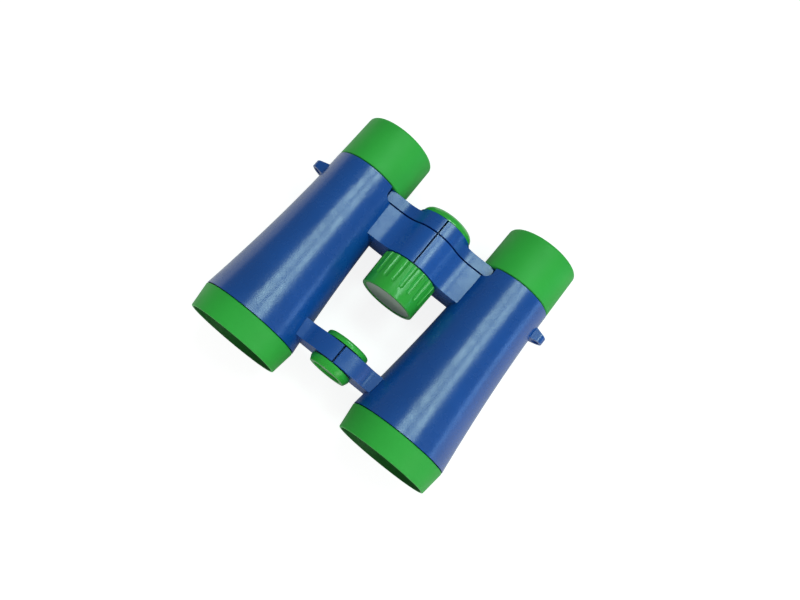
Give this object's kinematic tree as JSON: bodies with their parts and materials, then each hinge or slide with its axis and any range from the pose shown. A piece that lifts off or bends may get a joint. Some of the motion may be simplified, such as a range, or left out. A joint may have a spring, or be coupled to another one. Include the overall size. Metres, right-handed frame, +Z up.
{
  "type": "toy binoculars",
  "caption": "Folding children's binoculars with flared blue barrels, green front rings and eyecups, strap lugs and a fluted centre focusing knob.",
  "frame": {"origin": "on the supporting surface, below the middle of the fully open binoculars", "axes": "+Y is the line of sight from the eyecups to the front rings, +X is the user's right and +Z is up, with both barrel axes level and the hinge above them"},
  "size_m": [0.12, 0.108, 0.044],
  "materials": {
    "blue_plastic": "satin moulded",
    "green_satin_plastic": "satin moulded",
    "green_gloss_plastic": "glossy moulded",
    "black_plastic": "matt",
    "grey_green_plastic": "satin",
    "pale_metal": "brushed",
    "steel": "turned",
    "lens_glass": "polished"
  },
  "bodies": {
    "left_barrel": {"left_barrel": "blue_plastic", "left_front_ring": "green_satin_plastic", "left_objective_lens": "lens_glass", "left_lens_retainer": "black_plastic", "left_rear_arm": "blue_plastic", "left_front_arm": "blue_plastic", "hinge_axle": "steel", "axle_clip": "steel", "front_pin": "steel", "front_cap": "green_gloss_plastic", "front_cap_disc": "pale_metal", "pin_head": "green_gloss_plastic"},
    "right_barrel": {"right_barrel": "blue_plastic", "right_front_ring": "green_satin_plastic", "right_objective_lens": "lens_glass", "right_lens_retainer": "black_plastic", "right_rear_arm": "blue_plastic", "right_front_arm": "blue_plastic"},
    "focus_knob": {"focus_knob": "green_gloss_plastic", "knob_nut": "steel", "knob_disc": "grey_green_plastic"},
    "left_eyepiece": {"left_yoke_arm": "blue_plastic", "left_eyepiece_tube": "black_plastic", "left_eye_lens": "lens_glass", "left_eye_retainer": "black_plastic", "left_eyecup": "green_satin_plastic", "focus_spindle": "steel", "yoke_screw": "steel", "rear_cap": "green_gloss_plastic"},
    "right_eyepiece": {"right_yoke_arm": "blue_plastic", "right_eyepiece_tube": "black_plastic", "right_eye_lens": "lens_glass", "right_eye_retainer": "black_plastic", "right_eyecup": "green_satin_plastic"}
  },
  "joints": [
    {"name": "fold", "type": "hinge", "parent": "left_barrel", "child": "right_barrel", "pos_m": [0, 0, 0.026], "axis": [0, 1, 0], "range_deg": [0, 70]},
    {"name": "knob_turn", "type": "hinge", "parent": "left_barrel", "child": "focus_knob", "pos_m": [0, 0, 0.026], "axis": [0, 1, 0], "range_deg": [0, 300]},
    {"name": "left_focus", "type": "slide", "parent": "left_barrel", "child": "left_eyepiece", "axis": [0, -1, 0], "range_m": [0, 0.005]},
    {"name": "right_focus", "type": "slide", "parent": "right_barrel", "child": "right_eyepiece", "axis": [0, -1, 0], "range_m": [0, 0.005]}
  ],
  "couplings": [
    {"joint": "knob_turn", "follows": "left_focus", "rad_per_m": 1047.2},
    {"joint": "right_focus", "follows": "left_focus", "ratio": 1}
  ]
}
